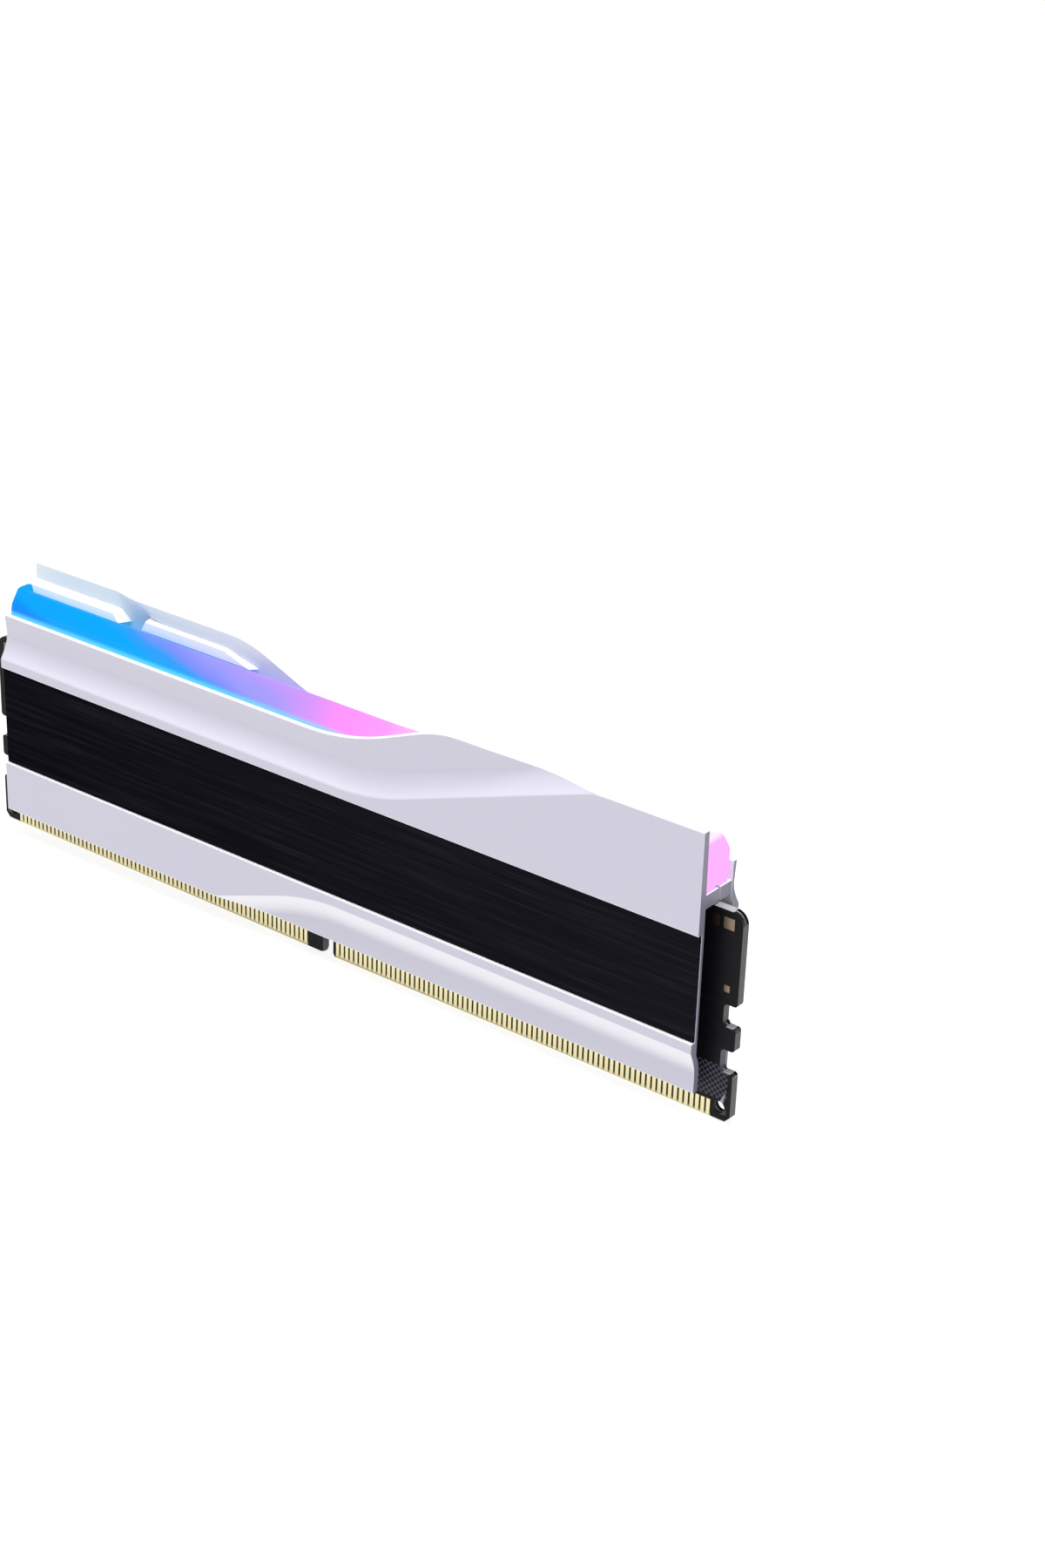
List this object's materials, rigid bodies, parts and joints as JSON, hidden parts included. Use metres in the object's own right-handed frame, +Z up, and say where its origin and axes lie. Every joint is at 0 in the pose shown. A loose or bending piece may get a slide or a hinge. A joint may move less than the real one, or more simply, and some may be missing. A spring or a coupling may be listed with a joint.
{
  "type": "ram module",
  "caption": "Desktop memory module: a circuit board with gold edge contacts between two painted heat spreaders, with a translucent light bar along the top.",
  "frame": {"origin": "middle of the board's card edge, on the flat bottom that enters the socket first", "axes": "+X along the module towards the end with the longer contact group, -Y towards the front spreader, +Z up from the contacts to the light bar"},
  "size_m": [0.1334, 0.0088, 0.0415],
  "materials": {
    "board": "black solder mask over glass fibre laminate",
    "gold": "gold plate",
    "paint": "fine satin white paint on pressed aluminium",
    "insert": "black anodised, brushed lengthwise",
    "bar": "frosted translucent, lit from inside",
    "chip": "black moulded resin",
    "ferrite": "matt ferrite",
    "capacitor": "tan ceramic",
    "led": "white diode package",
    "pad": "soft silicone"
  },
  "bodies": {
    "root": {"pcb": "board", "contacts_front_left": "gold", "contacts_front_right": "gold", "contacts_back_left": "gold", "contacts_back_right": "gold", "heat_spreader_front": "paint", "heat_spreader_back": "paint", "insert_front": "insert", "insert_back": "insert", "light_bar": "bar", "memory_chip_1": "chip", "memory_chip_2": "chip", "memory_chip_3": "chip", "memory_chip_4": "chip", "memory_chip_5": "chip", "memory_chip_6": "chip", "memory_chip_7": "chip", "memory_chip_8": "chip", "power_chip": "chip", "spd_hub": "chip", "light_controller": "chip", "inductor_1": "ferrite", "inductor_2": "ferrite", "inductor_3": "ferrite", "capacitor_1": "capacitor", "capacitor_2": "capacitor", "capacitor_3": "capacitor", "capacitor_4": "capacitor", "capacitor_5": "capacitor", "capacitor_6": "capacitor", "led_1": "led", "led_2": "led", "led_3": "led", "led_4": "led", "led_5": "led", "led_6": "led", "led_7": "led", "led_8": "led", "thermal_pad_left": "pad", "thermal_pad_right": "pad", "thermal_pad_power": "pad", "thermal_pad_back": "pad"}
  },
  "joints": []
}
